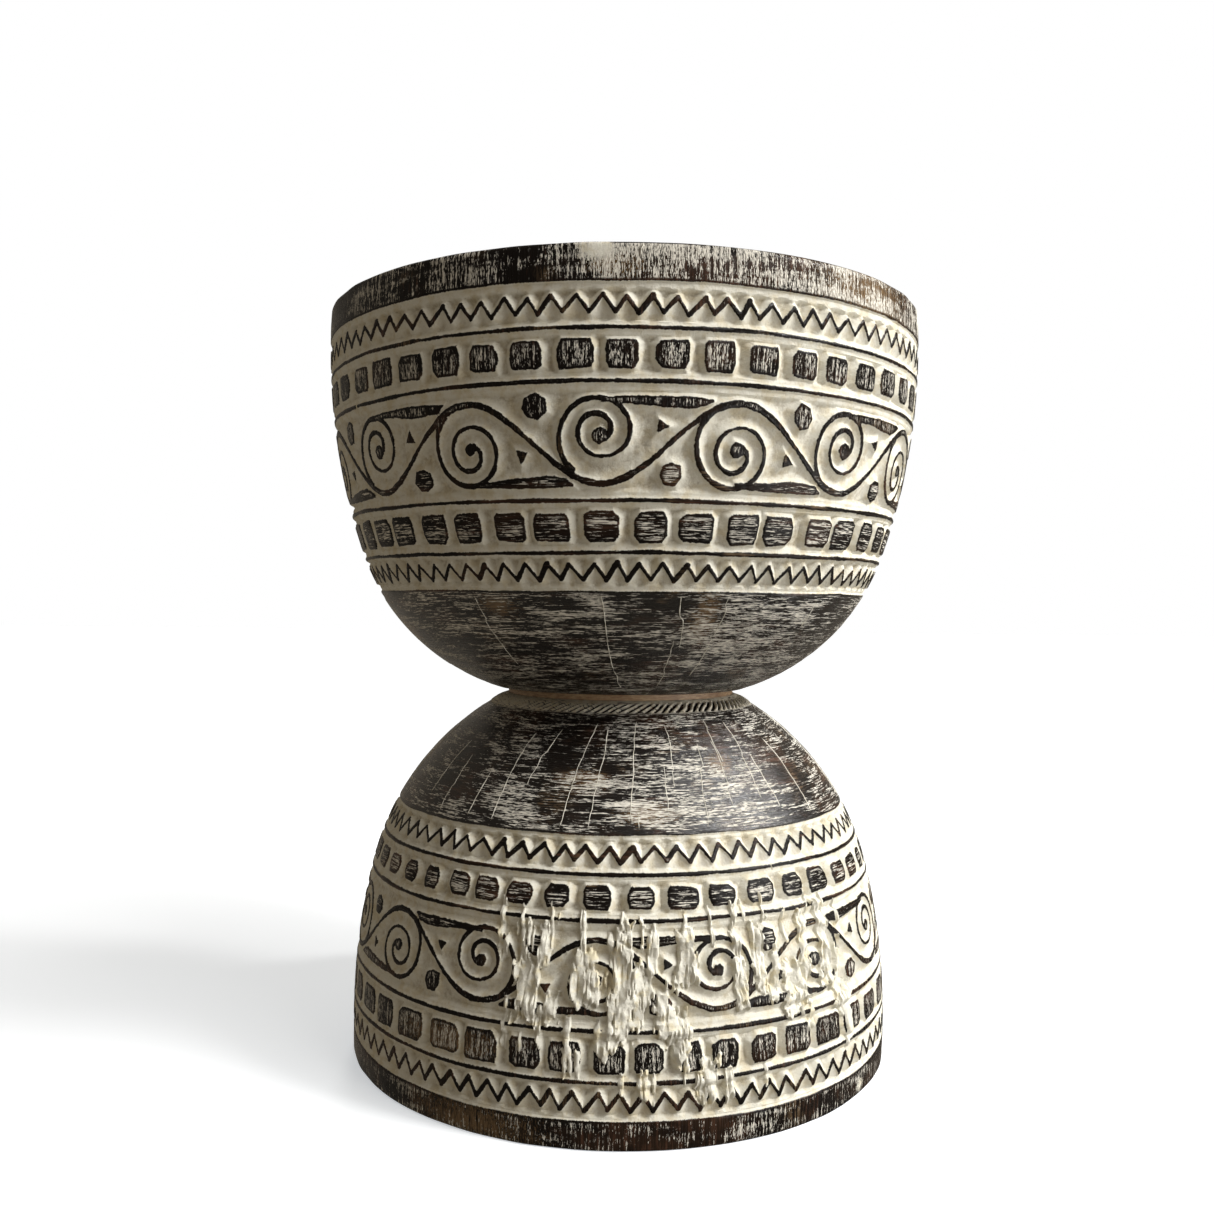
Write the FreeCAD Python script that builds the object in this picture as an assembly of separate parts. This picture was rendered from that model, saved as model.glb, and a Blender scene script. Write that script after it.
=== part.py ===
import FreeCAD, Part
import math
import os

# A carved hourglass vessel: an open turned bowl standing on an upturned
# bowl that serves as its foot. A thin collar sits between the two necks
# and a plain round dowel runs through the collar into both of them.
# Millimetres. +Z is up, Z = 0 is the plane the foot rests on, and the
# turning axis is the Z axis.

# ---- overall sizes -------------------------------------------------------
overall_height = 400.0
collar_bottom = 193.5          # top of the foot's neck
collar_thickness = 3.5
collar_radius = 64.0

# ---- upper bowl: outside made of two arcs that run into each other ----------
bowl_wall_max_radius = 163.5
bowl_wall_centre_z = 380.0     # height at which the wall is widest
bowl_wall_arc = 340.0
bowl_wall_angle = 18.8         # degrees of the wall arc before the belly arc
bowl_belly_arc = 116.5
bowl_wall_thickness = 20.0
bowl_floor_z = 222.0           # inside floor

# ---- foot bowl: the same construction, upside down -------------------------
foot_wall_max_radius = 148.5
foot_wall_centre_z = 20.0
foot_wall_arc = 340.0
foot_wall_angle = 13.5
foot_belly_arc = 142.5
foot_wall_thickness = 20.0
foot_ceiling_z = 166.0         # top of the hollow under the foot

# ---- softened edges ---------------------------------------------------------
rim_edge_round = 2.0
base_edge_round = 1.5

# ---- centre joint -----------------------------------------------------------
dowel_radius = 15.0
dowel_length = 33.5
socket_depth_foot = 15.0       # the dowel stands on the floor of this socket
socket_depth_bowl = 16.0       # one millimetre is left above it for glue
socket_clearance = 0.15

# ---- carved bands -----------------------------------------------------------
carving_depth = 2.5

# (bottom, top) heights of the bands that are carved back
bowl_tooth_bands = [(249.4, 266.0), (363.7, 383.0)]
bowl_scroll_band = (290.4, 339.6)
foot_tooth_bands = [(14.0, 30.6), (120.4, 136.0)]
foot_scroll_band = (55.1, 100.7)

# The rings on the foot are spaced unevenly by hand. A pad is moved along its
# ring by sway * sin(waves * (bearing - sway_start)), in degrees.
evenly_spaced = (0.0, 1, 0.0)
foot_low_sway = (1.67, 4, -128.1)
foot_top_sway = (1.12, 3, -63.9)

# (bottom, top, number of pads, pad width, pad height, pad middle height,
#  bearing of one pad in degrees, how the spacing varies)
bowl_pad_bands = [
    (267.6, 288.8, 43, 15.8, 13.0, 278.0, -85.8, evenly_spaced),
    (341.2, 362.0, 48, 14.8, 12.0, 351.5, -90.8, evenly_spaced),
]
foot_pad_bands = [
    (32.2, 53.5, 46, 14.6, 12.5, 41.5, -93.5, foot_low_sway),
    (102.3, 118.8, 45, 12.6, 10.5, 109.5, -93.35, foot_top_sway),
]


def arc_point(centre, radius, degrees):
    """Point (r, z) on a circle; 0 degrees points away from the axis, up is positive."""
    angle = math.radians(degrees)
    return centre[0] + radius * math.cos(angle), centre[1] + radius * math.sin(angle)


def arc_edge(centre, radius, start, end):
    """Arc edge in the XZ plane from one angle to another."""
    points = []
    for degrees in (start, (start + end) / 2.0, end):
        r, z = arc_point(centre, radius, degrees)
        points.append(FreeCAD.Vector(r, 0, z))
    return Part.Arc(points[0], points[1], points[2]).toShape()


def line_edge(start, end):
    """Straight edge in the XZ plane between two (r, z) points."""
    first = FreeCAD.Vector(start[0], 0, start[1])
    last = FreeCAD.Vector(end[0], 0, end[1])
    return Part.makeLine(first, last)


def wall_and_belly(max_radius, centre_z, wall_arc, wall_angle, belly_arc, inset, side):
    """Centres and radii of the two arcs of a wall, set in from the outside.

    side is -1 where the belly lies below the wall and +1 where it lies above.
    """
    angle = math.radians(wall_angle)
    wall_centre = (max_radius - wall_arc, centre_z)
    reach = wall_arc - belly_arc
    belly_centre = (wall_centre[0] + reach * math.cos(angle),
                    centre_z + side * reach * math.sin(angle))
    return wall_centre, wall_arc - inset, belly_centre, belly_arc - inset


def angle_at_height(centre, radius, z):
    """Angle in degrees at which a circle passes a height, on its outer half."""
    return math.degrees(math.asin((z - centre[1]) / radius))


def turned_solid(edges):
    """Full turn of a closed outline about the Z axis."""
    face = Part.Face(Part.Wire(edges))
    return face.revolve(FreeCAD.Vector(0, 0, 0), FreeCAD.Vector(0, 0, 1), 360)


def solid_body(max_radius, centre_z, wall_arc, wall_angle, belly_arc, inset,
               open_z, neck_z, side):
    """Solid between the axis and the outside of a bowl, set in by a distance."""
    wall_centre, wall_radius, belly_centre, belly_radius = wall_and_belly(
        max_radius, centre_z, wall_arc, wall_angle, belly_arc, inset, side)
    join = side * wall_angle
    open_angle = angle_at_height(wall_centre, wall_radius, open_z)
    neck_angle = angle_at_height(belly_centre, belly_radius, neck_z)
    open_point = arc_point(wall_centre, wall_radius, open_angle)
    neck_point = arc_point(belly_centre, belly_radius, neck_angle)
    edges = [
        line_edge((0, neck_z), (0, open_z)),
        line_edge((0, open_z), open_point),
        arc_edge(wall_centre, wall_radius, open_angle, join),
        arc_edge(belly_centre, belly_radius, join, neck_angle),
        line_edge(neck_point, (0, neck_z)),
    ]
    return turned_solid(edges)


def hollow_body(max_radius, centre_z, wall_arc, wall_angle, thickness,
                open_z, floor_z, side):
    """Inside of a bowl: a wall arc, then an arc that runs level into a flat floor.

    It runs past the open end so that it cuts the end cleanly.
    """
    angle = math.radians(wall_angle)
    wall_centre = (max_radius - wall_arc, centre_z)
    wall_radius = wall_arc - thickness
    join_point = arc_point(wall_centre, wall_radius, side * wall_angle)
    rise = side * (floor_z - join_point[1])
    corner_radius = rise / (1.0 - math.sin(angle))
    corner_centre = (join_point[0] - corner_radius * math.cos(angle),
                     join_point[1] - side * corner_radius * math.sin(angle))
    past_z = open_z - side * 10.0
    past_angle = angle_at_height(wall_centre, wall_radius, past_z)
    past_point = arc_point(wall_centre, wall_radius, past_angle)
    edges = [
        line_edge((0, floor_z), (0, past_z)),
        line_edge((0, past_z), past_point),
        arc_edge(wall_centre, wall_radius, past_angle, side * wall_angle),
        arc_edge(corner_centre, corner_radius, side * wall_angle, side * 90.0),
        line_edge((corner_centre[0], floor_z), (0, floor_z)),
    ]
    return turned_solid(edges)


def slab(bottom, top):
    """Round slab wider than the object, used to limit a band by height."""
    return Part.makeCylinder(300, top - bottom, FreeCAD.Vector(0, 0, bottom))


def pad_blocks(count, width, height, middle_z, first_bearing, spacing):
    """Ring of upright blocks that mark where the pads are left standing."""
    blocks = []
    inner_radius = 110.0
    sway, waves, sway_start = spacing
    for index in range(count):
        corner = FreeCAD.Vector(inner_radius, -width / 2.0, middle_z - height / 2.0)
        block = Part.makeBox(80, width, height, corner)
        bearing = first_bearing + index * 360.0 / count
        bearing += sway * math.sin(waves * math.radians(bearing - sway_start))
        block.rotate(FreeCAD.Vector(0, 0, 0), FreeCAD.Vector(0, 0, 1), bearing)
        blocks.append(block)
    return blocks


def carve_bands(body, outer_skin, plain_bands, pad_bands):
    """Cut the carved bands back and leave the rings of pads standing."""
    for bottom, top in plain_bands:
        body = body.cut(outer_skin.common(slab(bottom, top)))
    for bottom, top, count, width, height, middle_z, bearing, spacing in pad_bands:
        ring = outer_skin.common(slab(bottom, top))
        ring = ring.cut(pad_blocks(count, width, height, middle_z, bearing, spacing))
        body = body.cut(ring)
    return body


def round_edges_at(body, z, radius):
    """Round the circular edges that lie in one level plane."""
    edges = []
    for edge in body.Edges:
        box = edge.BoundBox
        if abs(box.ZMin - z) < 0.01 and abs(box.ZMax - z) < 0.01 and box.XLength > 200:
            edges.append(edge)
    return body.makeFillet(radius, edges)


# ---- upper bowl ----------------------------------------------------------
collar_top = collar_bottom + collar_thickness
bowl_outline = (bowl_wall_max_radius, bowl_wall_centre_z, bowl_wall_arc,
                bowl_wall_angle, bowl_belly_arc)
upper_bowl = solid_body(*bowl_outline, 0.0, overall_height, collar_top, -1)
bowl_hollow = hollow_body(bowl_wall_max_radius, bowl_wall_centre_z, bowl_wall_arc,
                          bowl_wall_angle, bowl_wall_thickness,
                          overall_height, bowl_floor_z, -1)
upper_bowl = upper_bowl.cut(bowl_hollow)
upper_bowl = round_edges_at(upper_bowl, overall_height, rim_edge_round)

bowl_skin = solid_body(*bowl_outline, -5.0, overall_height, collar_top, -1)
bowl_skin = bowl_skin.cut(solid_body(*bowl_outline, carving_depth,
                                     overall_height, collar_top, -1))
upper_bowl = carve_bands(upper_bowl, bowl_skin,
                         bowl_tooth_bands + [bowl_scroll_band], bowl_pad_bands)
bowl_socket = Part.makeCylinder(dowel_radius + socket_clearance, socket_depth_bowl,
                                FreeCAD.Vector(0, 0, collar_top))
upper_bowl = upper_bowl.cut(bowl_socket)

# ---- foot bowl -----------------------------------------------------------
foot_outline = (foot_wall_max_radius, foot_wall_centre_z, foot_wall_arc,
                foot_wall_angle, foot_belly_arc)
foot_bowl = solid_body(*foot_outline, 0.0, 0.0, collar_bottom, 1)
foot_hollow = hollow_body(foot_wall_max_radius, foot_wall_centre_z, foot_wall_arc,
                          foot_wall_angle, foot_wall_thickness,
                          0.0, foot_ceiling_z, 1)
foot_bowl = foot_bowl.cut(foot_hollow)
foot_bowl = round_edges_at(foot_bowl, 0.0, base_edge_round)

foot_skin = solid_body(*foot_outline, -5.0, 0.0, collar_bottom, 1)
foot_skin = foot_skin.cut(solid_body(*foot_outline, carving_depth,
                                     0.0, collar_bottom, 1))
foot_bowl = carve_bands(foot_bowl, foot_skin,
                        foot_tooth_bands + [foot_scroll_band], foot_pad_bands)
foot_socket = Part.makeCylinder(dowel_radius + socket_clearance, socket_depth_foot,
                                FreeCAD.Vector(0, 0, collar_bottom - socket_depth_foot))
foot_bowl = foot_bowl.cut(foot_socket)

# ---- collar between the two necks ---------------------------------------------
neck_collar = Part.makeCylinder(collar_radius, collar_thickness,
                                FreeCAD.Vector(0, 0, collar_bottom))
collar_bore = Part.makeCylinder(dowel_radius + socket_clearance, collar_thickness,
                                FreeCAD.Vector(0, 0, collar_bottom))
neck_collar = neck_collar.cut(collar_bore)

# ---- dowel that joins the two bowls ---------------------------------------------
centre_dowel = Part.makeCylinder(dowel_radius, dowel_length,
                                 FreeCAD.Vector(0, 0, collar_bottom - socket_depth_foot))
centre_dowel = centre_dowel.makeChamfer(1.0, [centre_dowel.Edges[0], centre_dowel.Edges[2]])

os.makedirs("parts", exist_ok=True)
pieces = {
    "upper_bowl": upper_bowl,
    "foot_bowl": foot_bowl,
    "neck_collar": neck_collar,
    "centre_dowel": centre_dowel,
}
for name, shape in pieces.items():
    shape.exportStep("parts/" + name + ".step")
    box = shape.BoundBox
    print(name, "valid", shape.isValid(), "solids", len(shape.Solids),
          "volume cm3 %.0f" % (shape.Volume / 1000.0),
          "z %.1f to %.1f" % (box.ZMin, box.ZMax), "width %.1f" % box.XLength)
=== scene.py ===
import math
import bmesh
import bpy
import numpy as np
from mathutils import Matrix, Vector


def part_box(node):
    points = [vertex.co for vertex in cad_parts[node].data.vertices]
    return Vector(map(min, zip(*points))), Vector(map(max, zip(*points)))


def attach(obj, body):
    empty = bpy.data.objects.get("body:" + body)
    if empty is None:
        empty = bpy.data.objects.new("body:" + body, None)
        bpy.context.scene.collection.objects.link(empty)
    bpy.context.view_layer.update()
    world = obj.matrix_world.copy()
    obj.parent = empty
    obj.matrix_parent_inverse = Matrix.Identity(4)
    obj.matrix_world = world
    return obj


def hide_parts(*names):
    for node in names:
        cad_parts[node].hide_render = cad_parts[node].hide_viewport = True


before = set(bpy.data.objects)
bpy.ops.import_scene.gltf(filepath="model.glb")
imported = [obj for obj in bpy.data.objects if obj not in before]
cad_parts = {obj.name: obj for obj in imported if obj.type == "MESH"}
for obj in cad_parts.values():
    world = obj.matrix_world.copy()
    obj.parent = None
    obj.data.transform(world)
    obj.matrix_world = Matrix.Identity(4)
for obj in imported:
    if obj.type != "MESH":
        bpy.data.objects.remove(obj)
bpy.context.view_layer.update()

# Lengths are in millimetres unless a line says metres. theta is in radians.
MM = 0.001
TURN = 2.0 * math.pi
WRAP_RADIUS = 150.0    # mm, of the cylinder that noise and colour are laid out on


def corners(node):
    """Lowest and highest corner of a CAD node in millimetres."""
    low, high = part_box(node)
    return np.array(low) / MM, np.array(high) / MM


# ---- outlines
class Outline:
    """Outside of one bowl as a wall arc that runs into a belly arc.

    h is the height above the neck plane and v the distance along the outside
    from the open end, both in millimetres. up is +1 if the open end is on top.
    """

    def __init__(self, node, up, wall_share, wall_arc, wall_angle, belly_arc):
        low, high = corners(node)
        self.up = up
        self.height = high[2] - low[2]
        self.neck_z = low[2] if up > 0 else high[2]
        self.wall_h = self.height * wall_share
        self.wall_arc = wall_arc
        self.angle = math.radians(wall_angle)
        self.belly_arc = belly_arc
        self.wall_r = (high[0] - low[0]) / 2.0 - wall_arc
        reach = wall_arc - belly_arc
        self.belly_r = self.wall_r + reach * math.cos(self.angle)
        self.belly_h = self.wall_h - reach * math.sin(self.angle)
        self.open_angle = math.asin((self.height - self.wall_h) / wall_arc)
        self.v_join = (self.open_angle + self.angle) * wall_arc
        neck_angle = math.asin(self.belly_h / belly_arc)
        self.v_neck = self.v_join + (neck_angle - self.angle) * belly_arc

    def at(self, v):
        """r, h and the outward normal's r and h parts at distances v."""
        v = np.asarray(v, float)
        wall = v < self.v_join
        turn = np.where(wall, self.open_angle - v / self.wall_arc,
                        -self.angle - (v - self.v_join) / self.belly_arc)
        arc = np.where(wall, self.wall_arc, self.belly_arc)
        r = np.where(wall, self.wall_r, self.belly_r) + arc * np.cos(turn)
        h = np.where(wall, self.wall_h, self.belly_h) + arc * np.sin(turn)
        return r, h, np.cos(turn), np.sin(turn)

    def locate(self, r, h):
        """v and the depth below the outside, for points near it."""
        wall_turn = np.arctan2(h - self.wall_h, r - self.wall_r)
        belly_turn = np.arctan2(h - self.belly_h, r - self.belly_r)
        wall = wall_turn > -self.angle
        v = np.where(wall, (self.open_angle - wall_turn) * self.wall_arc,
                     self.v_join + (-self.angle - belly_turn) * self.belly_arc)
        depth = np.where(wall, self.wall_arc - np.hypot(r - self.wall_r, h - self.wall_h),
                         self.belly_arc - np.hypot(r - self.belly_r, h - self.belly_h))
        return v, depth

    def place(self, theta, r, h):
        """Points in metres from angle, radius and height above the neck."""
        z = self.neck_z + self.up * h
        return np.stack([r * np.cos(theta), r * np.sin(theta), z], -1) * MM


upper = Outline("upper_bowl", up=1, wall_share=183.0 / 203.0, wall_arc=340.0,
                wall_angle=18.8, belly_arc=116.5)
foot = Outline("foot_bowl", up=-1, wall_share=173.5 / 193.5, wall_arc=340.0,
               wall_angle=13.5, belly_arc=142.5)

# ---- noise
def ease(t):
    return t * t * (3.0 - 2.0 * t)


def ramp(x, low, high):
    """0 below low, 1 above high, eased between."""
    return ease(np.clip((x - low) / (high - low), 0.0, 1.0))


def between(grid, theta, row, share, soften):
    """Values of a grid that wraps round the axis, between a row and the next."""
    cols = grid.shape[1]
    a = (theta / TURN % 1.0) * cols
    i = np.floor(a).astype(int)
    part = soften(a - i)
    left, right = i % cols, (i + 1) % cols
    top = grid[row, left] * (1 - part) + grid[row, right] * part
    low = grid[row + 1, left] * (1 - part) + grid[row + 1, right] * part
    return top * (1 - share) + low * share


def noise(theta, v, cell_u, cell_v, seed):
    """Smooth noise from -1 to 1 on a cylinder, with cells of that size in mm.

    The lattice covers v from 60 mm before the open end to 530 mm past it.
    """
    cols = max(3, int(round(TURN * WRAP_RADIUS / cell_u)))
    rows = int(600.0 / cell_v) + 4
    lattice = np.random.default_rng(seed).uniform(-1, 1, (rows, cols))
    b = np.clip(np.asarray(v) + 60.0, 0, 590) / cell_v
    row = np.floor(b).astype(int)
    return between(lattice, np.asarray(theta), row, ease(b - row), ease)


# ---- raised figures on the grid
class Sheet:
    """Grid over the carved outside that collects distances to raised figures."""

    def __init__(self, outline, rows, columns):
        self.outline = outline
        self.v = rows
        self.n = columns
        self.theta = np.arange(columns) * TURN / columns

    def blank(self):
        """A field that is far from any figure."""
        return np.full((len(self.v), self.n), 30.0)

    def window(self, theta, v, reach):
        """Rows and columns around some points, and the radius there."""
        radius = float(self.outline.at(np.mean(v))[0])
        j0, j1 = np.searchsorted(self.v, (np.min(v) - reach, np.max(v) + reach))
        i0 = int(math.floor((np.min(theta) - reach / radius) / TURN * self.n))
        i1 = int(math.ceil((np.max(theta) + reach / radius) / TURN * self.n)) + 1
        cols = np.arange(i0, i1)
        return j0, j1, cols, radius

    def stroke(self, field, theta, v, half):
        """A line of varying half width through points (theta, v)."""
        half = np.broadcast_to(half, np.shape(theta))
        for k in range(len(theta) - 1):
            reach = 5.0 + max(half[k], half[k + 1])
            j0, j1, cols, radius = self.window(theta[k:k + 2], v[k:k + 2], reach)
            if j1 <= j0:
                continue
            x = (cols * TURN / self.n - theta[k]) * radius
            y = self.v[j0:j1, None] - v[k]
            dx, dy = (theta[k + 1] - theta[k]) * radius, v[k + 1] - v[k]
            t = np.clip((x * dx + y * dy) / (dx * dx + dy * dy + 1e-9), 0, 1)
            far = np.hypot(x - t * dx, y - t * dy) - (half[k] * (1 - t) + half[k + 1] * t)
            wrapped = cols % self.n
            field[j0:j1, wrapped] = np.minimum(field[j0:j1, wrapped], far)

    def polygon(self, field, theta, v):
        """A convex figure with corners (theta, v), listed in either sense."""
        j0, j1, cols, radius = self.window(theta, v, 5.5)
        if j1 <= j0:
            return
        px, py = np.asarray(theta) * radius, np.asarray(v)
        area = np.sum(px * np.roll(py, -1) - np.roll(px, -1) * py)
        x = cols * TURN / self.n * radius
        y = self.v[j0:j1, None]
        far = np.full((j1 - j0, len(cols)), -99.0)
        for k in range(len(px)):
            ex = px[(k + 1) % len(px)] - px[k]
            ey = py[(k + 1) % len(py)] - py[k]
            size = math.hypot(ex, ey) + 1e-9
            nx, ny = ey / size * np.sign(area), -ex / size * np.sign(area)
            far = np.maximum(far, (x - px[k]) * nx + (y - py[k]) * ny)
        wrapped = cols % self.n
        field[j0:j1, wrapped] = np.minimum(field[j0:j1, wrapped], far)


def ring_line(sheet, field, v_mid, half, seed):
    """A thin line all round, cut by hand."""
    wave = 0.45 * noise(sheet.theta, 0.0, 45.0, 50.0, seed)
    wave = wave + 0.16 * noise(sheet.theta, 0.0, 9.0, 50.0, seed + 1)
    width = half * (1.0 + 0.45 * noise(sheet.theta, 0.0, 14.0, 50.0, seed + 2))
    gaps = noise(sheet.theta, 0.0, 5.0, 50.0, seed + 3) > 0.9
    far = np.abs(sheet.v[:, None] - (v_mid + wave)[None, :]) - (width - 1.1 * gaps)[None, :]
    np.minimum(field, far, out=field)


def tooth_points(ring, seed):
    """Corners of a zigzag as angles and distances v, starting at a v_a corner."""
    count, v_a, v_b, first = ring
    rng = np.random.default_rng(seed)
    k = np.arange(2 * count)
    theta = math.radians(first) + (k + rng.normal(0, 0.10, 2 * count)) * TURN / (2 * count)
    v = np.where(k % 2 == 0, v_a, v_b) + rng.normal(0, 0.35, 2 * count)
    return theta, v, rng


def teeth(sheet, field, ring, half, down, seed):
    """A zigzag ridge all round. Strokes that rise to the right are the thick ones."""
    theta, v, rng = tooth_points(ring, seed)
    theta = np.append(theta, theta[0] + TURN)
    v = np.append(v, v[0])
    for k in range(len(theta) - 1):
        wide = half * (1.25 if down * (v[k + 1] - v[k]) < 0 else 0.85) * rng.uniform(0.8, 1.2)
        sheet.stroke(field, theta[k:k + 2], v[k:k + 2], wide * np.array([1.0, rng.uniform(0.7, 1.3)]))


def pads(sheet, field, ring, seed):
    """A ring of raised pads with cut-off corners.

    The spacing of a ring may sway: the pads close up and spread out again a few
    times on the way round, and the closer ones are narrower.
    """
    count, v_mid, width, height, first, (sway, waves, start) = ring
    rng = np.random.default_rng(seed)
    radius = float(sheet.outline.at(v_mid)[0])
    pitch = TURN / count
    for k in range(count):
        even = math.radians(first) + k * pitch
        swing = waves * (even - math.radians(start))
        mid = even + math.radians(sway) * math.sin(swing) + rng.normal(0, 0.035) * pitch
        spread = math.radians(sway) * waves * math.cos(swing) * pitch * radius
        w = (width * rng.uniform(0.88, 1.10) + 1.3 * spread) / 2.0
        h = height * rng.uniform(0.93, 1.06) / 2.0
        cut_x, cut_y = rng.uniform(0.6, 2.9, 4), rng.uniform(1.4, 4.4, 4)
        tilt = rng.normal(0, 0.3, 4)
        x = [-w + cut_x[0], w - cut_x[1], w, w, w - cut_x[2], -w + cut_x[3], -w, -w]
        y = [-h + tilt[0], -h + tilt[1], -h + cut_y[1], h - cut_y[2],
             h + tilt[2], h + tilt[3], h - cut_y[3], -h + cut_y[0]]
        sheet.polygon(field, mid + np.array(x) / radius, v_mid + np.array(y))


SCROLLS = 16
SCROLL_WIDTH = 63.0     # mm on the page from one scroll to the next

# Distance of a scroll's line from its own centre in mm, at angles in degrees.
# The line starts at the wave, to the left, and winds over the top.
SCROLL_ANGLES = [-52, -27, 0, 45, 90, 135, 180, 225, 270, 315, 360, 405, 450, 495, 540, 575]
SCROLL_RADII = [20.9, 19.6, 17.9, 17.3, 16.8, 16.4, 14.8, 12.0, 9.9, 9.6, 9.3, 9.7, 9.6, 8.4, 5.4, 3.2]

# Long tapered bar from a scroll's top to the next wave: x, upper and lower edge.
BAR_X = np.array([2.0, 10.0, 20.0, 31.0, 42.0, 48.0, 51.0])
BAR_TOP = np.array([-19.2, -19.6, -19.8, -19.9, -19.8, -19.4, -19.2])
BAR_LOW = np.array([-17.2, -16.8, -16.2, -15.0, -14.8, -16.4, -18.6])


def blob(rng, count, twist, size, low, high):
    """Corners of a rough round figure about (0, 0)."""
    turn = np.linspace(0, TURN, count + 1)[:-1] + rng.uniform(0, twist)
    wide = size * rng.uniform(low, high, count)
    return wide * np.cos(turn), wide * np.sin(turn)


def scroll(stroke, figure, rng):
    """One scroll with the wave under it, its bar and its bosses, on the page.

    stroke(x, y, half) draws a line and figure(x, y) fills a convex figure, both
    in page millimetres about the scroll's middle.
    """
    # wave line
    x = np.linspace(-0.5, 0.5, 17) * SCROLL_WIDTH
    y = 18.2 * np.cos(math.pi * (x - 1.2) / SCROLL_WIDTH) + rng.normal(0, 0.12, 17)
    stroke(x, y, 0.74 + 0.62 * np.cos(math.pi * x / SCROLL_WIDTH) + rng.normal(0, 0.08, 17))
    # scroll
    angle = np.radians(np.arange(SCROLL_ANGLES[0], SCROLL_ANGLES[-1] + 1, 12.0))
    size = np.interp(np.degrees(angle), SCROLL_ANGLES, SCROLL_RADII)
    size = np.convolve(np.pad(size, 2, "edge"), np.ones(5) / 5.0, "valid")
    size = size * rng.uniform(0.95, 1.04) + 0.25 * np.sin(angle * 1.7 + rng.uniform(0, 6))
    cx, cy = rng.normal(0.3, 0.5), -2.2 + rng.normal(0, 0.5)
    x, y = cx - size * np.cos(angle), cy - size * np.sin(angle)
    half = 0.60 + 0.42 * np.sin(np.linspace(0.6, 5.5, len(angle))) ** 2
    half = half + rng.normal(0, 0.07, len(angle))
    stroke(x, y, half + 0.7 * (1.0 - ramp(np.degrees(angle), -50, -18)))
    # middle of the scroll, and the line's end that runs into it
    blob_x, blob_y = blob(rng, 8, 1.0, rng.uniform(2.6, 4.0), 0.85, 1.15)
    figure(cx + 0.8 + blob_x, cy + 0.4 + blob_y)
    stroke([x[-1], cx + 0.8], [y[-1], cy + 0.4], 0.8)
    # bar, as a row of four-sided figures that overlap a little
    low = BAR_LOW + rng.normal(0, 0.25, 7)
    for a in range(6):
        left, right = BAR_X[a] - 0.2, BAR_X[a + 1] + 0.2
        figure([left, right, right, left], [BAR_TOP[a], BAR_TOP[a + 1], low[a + 1], low[a]])
    # rough round boss before the scroll
    x, y = blob(rng, 7, 1.2, 5.9, 0.80, 1.14)
    figure(-29.6 + rng.normal(0, 0.7) + x, -14.2 + rng.normal(0, 0.5) + y)
    # small boss between the scroll and the wave
    x, y = blob(rng, 3, 2.0, 3.4, 0.75, 1.1)
    figure(27.2 + rng.normal(0, 0.8) + x, -6.2 + rng.normal(0, 0.8) + y)


def scrolls(sheet, field, v_mid, scale, down, along, first, seed):
    """The wave line with a scroll in each of its bends.

    down is +1 where the page's down is +v. along is +1 where scrolls follow
    each other in the order of rising angle. Every other one is upside down.
    """
    rng = np.random.default_rng(seed)
    radius = float(sheet.outline.at(v_mid)[0])
    pitch = TURN / SCROLLS
    unit = pitch * radius / SCROLL_WIDTH

    def pens(k):
        """Functions that draw a line and a convex figure at scroll k's place."""
        flip = 1 if k % 2 == 0 else -1

        def put(x, y):
            theta = math.radians(first) + along * (k * pitch + np.asarray(x) * unit / radius)
            return theta, v_mid + down * flip * np.asarray(y) * scale

        def stroke(x, y, half):
            sheet.stroke(field, *put(x, y), half * scale)

        def figure(x, y):
            sheet.polygon(field, *put(x, y))

        return stroke, figure

    for k in range(SCROLLS):
        scroll(*pens(k), rng)


# ---- carved height
MARGIN = 1.15      # plain limewashed margins lie this far below the outside
DEEPEST = 3.1      # floors of the pits between the raised figures
LINE_HALF = 0.52   # half width of the lines all round
TOOTH_HALF = 0.68  # half width of a zigzag's strokes


def floor_of(theta, v, v_a, v_b, slope, seed):
    """Floor of a pit, cut in from the margins at v_a and v_b."""
    in_a = v - (v_a + 0.5 * noise(theta, v_a, 16.0, 50.0, seed))
    in_b = (v_b + 0.5 * noise(theta, v_b, 16.0, 50.0, seed + 1)) - v
    cut = slope * np.clip(np.minimum(in_a, in_b), 0, None)
    return np.minimum(MARGIN + cut, DEEPEST)


def hollow(far, slope, deepest):
    """Side of a gouged channel: steep at the line, then rounding off."""
    return deepest * (1.0 - np.exp(-slope * np.clip(far, 0, None) / deepest))


def smear(field, cells):
    """Running average along the rows, which wrap round."""
    total = field.copy()
    for shift in range(1, cells + 1):
        total += np.roll(field, shift, 1) + np.roll(field, -shift, 1)
    return total / (2 * cells + 1)


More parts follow.
